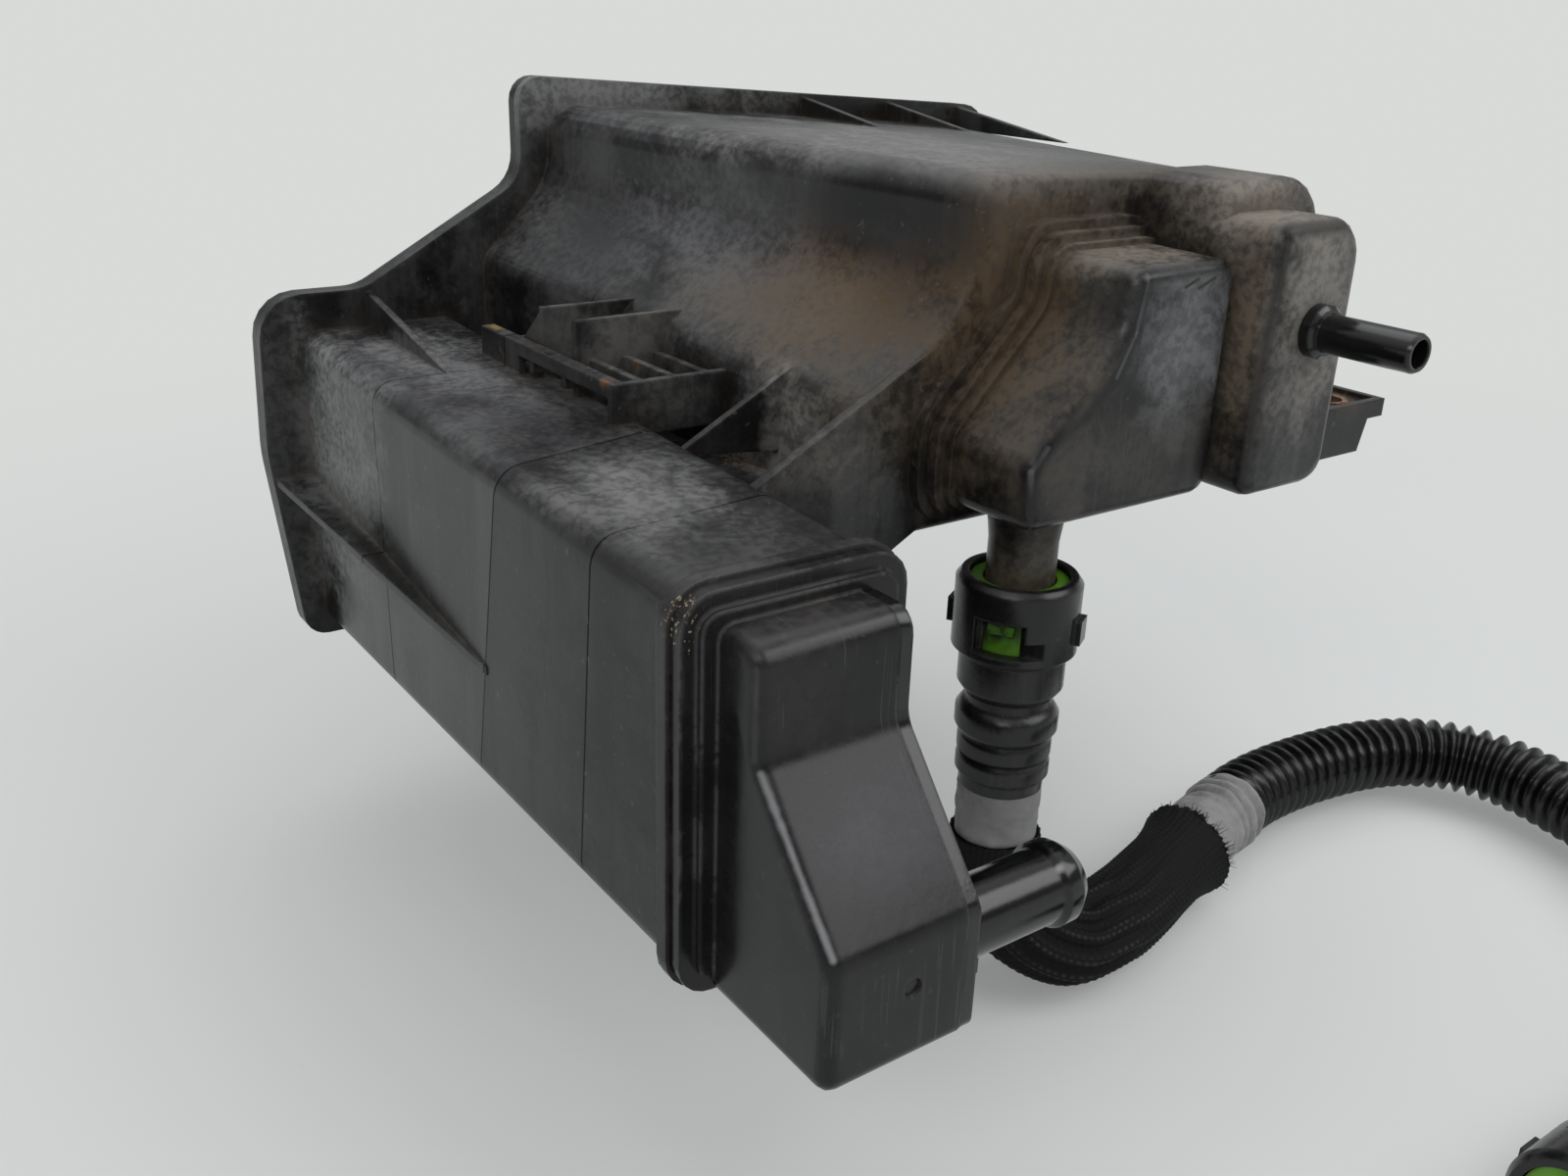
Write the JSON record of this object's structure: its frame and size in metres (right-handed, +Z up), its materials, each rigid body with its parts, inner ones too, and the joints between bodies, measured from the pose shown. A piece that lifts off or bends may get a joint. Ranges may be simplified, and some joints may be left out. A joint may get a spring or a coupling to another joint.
{
  "type": "charcoal canister",
  "caption": "Moulded evaporative-emission charcoal canister with twin chambers, vent and purge spigots, a mounting bracket and lug, and a vapour hose with quick connectors.",
  "frame": {"origin": "middle of the bracket slot's mouth, level with the tops of the slot's two plates, where the vehicle's tongue enters", "axes": "+X from the side chamber to the main chamber, +Y from the ports to the rear cover, +Z up, out of the bracket slot"},
  "size_m": [0.3836, 0.4012, 0.2487],
  "materials": {
    "body_plastic": "matte, dusty",
    "port_plastic": "gloss",
    "cap_plastic": "matte, brown dirt",
    "inner_plastic": "matte",
    "retainer_plastic": "satin",
    "spacer_plastic": "matte",
    "bush_steel": "rusty",
    "spring_steel": "drawn wire",
    "fleece": "felted",
    "carbon": "granular",
    "seal_rubber": "satin",
    "braid": "woven",
    "tape": "wrinkled",
    "tube_plastic": "satin"
  },
  "bodies": {
    "root": {"canister_body": "body_plastic", "rear_cover": "body_plastic", "side_cap": "body_plastic", "vent_port": "port_plastic", "main_cap": "cap_plastic", "purge_port": "port_plastic", "lug_bush": "bush_steel", "side_front_grid": "inner_plastic", "side_front_fleece": "fleece", "side_carbon_bed": "carbon", "side_rear_fleece": "fleece", "side_pressure_plate": "inner_plastic", "side_springs": "spring_steel", "main_front_grid": "inner_plastic", "main_front_fleece": "fleece", "main_carbon_bed": "carbon", "main_rear_fleece": "fleece", "main_pressure_plate": "inner_plastic", "main_springs": "spring_steel", "connector_body": "port_plastic", "connector_retainer": "retainer_plastic", "connector_seals": "seal_rubber", "connector_spacer": "spacer_plastic", "hose_cuff": "tape", "braided_sleeve": "braid", "tape_wrap": "tape", "corrugated_hose": "tube_plastic", "end_connector": "port_plastic", "end_retainer": "retainer_plastic", "end_seals": "seal_rubber", "end_spacer": "spacer_plastic"}
  },
  "joints": []
}
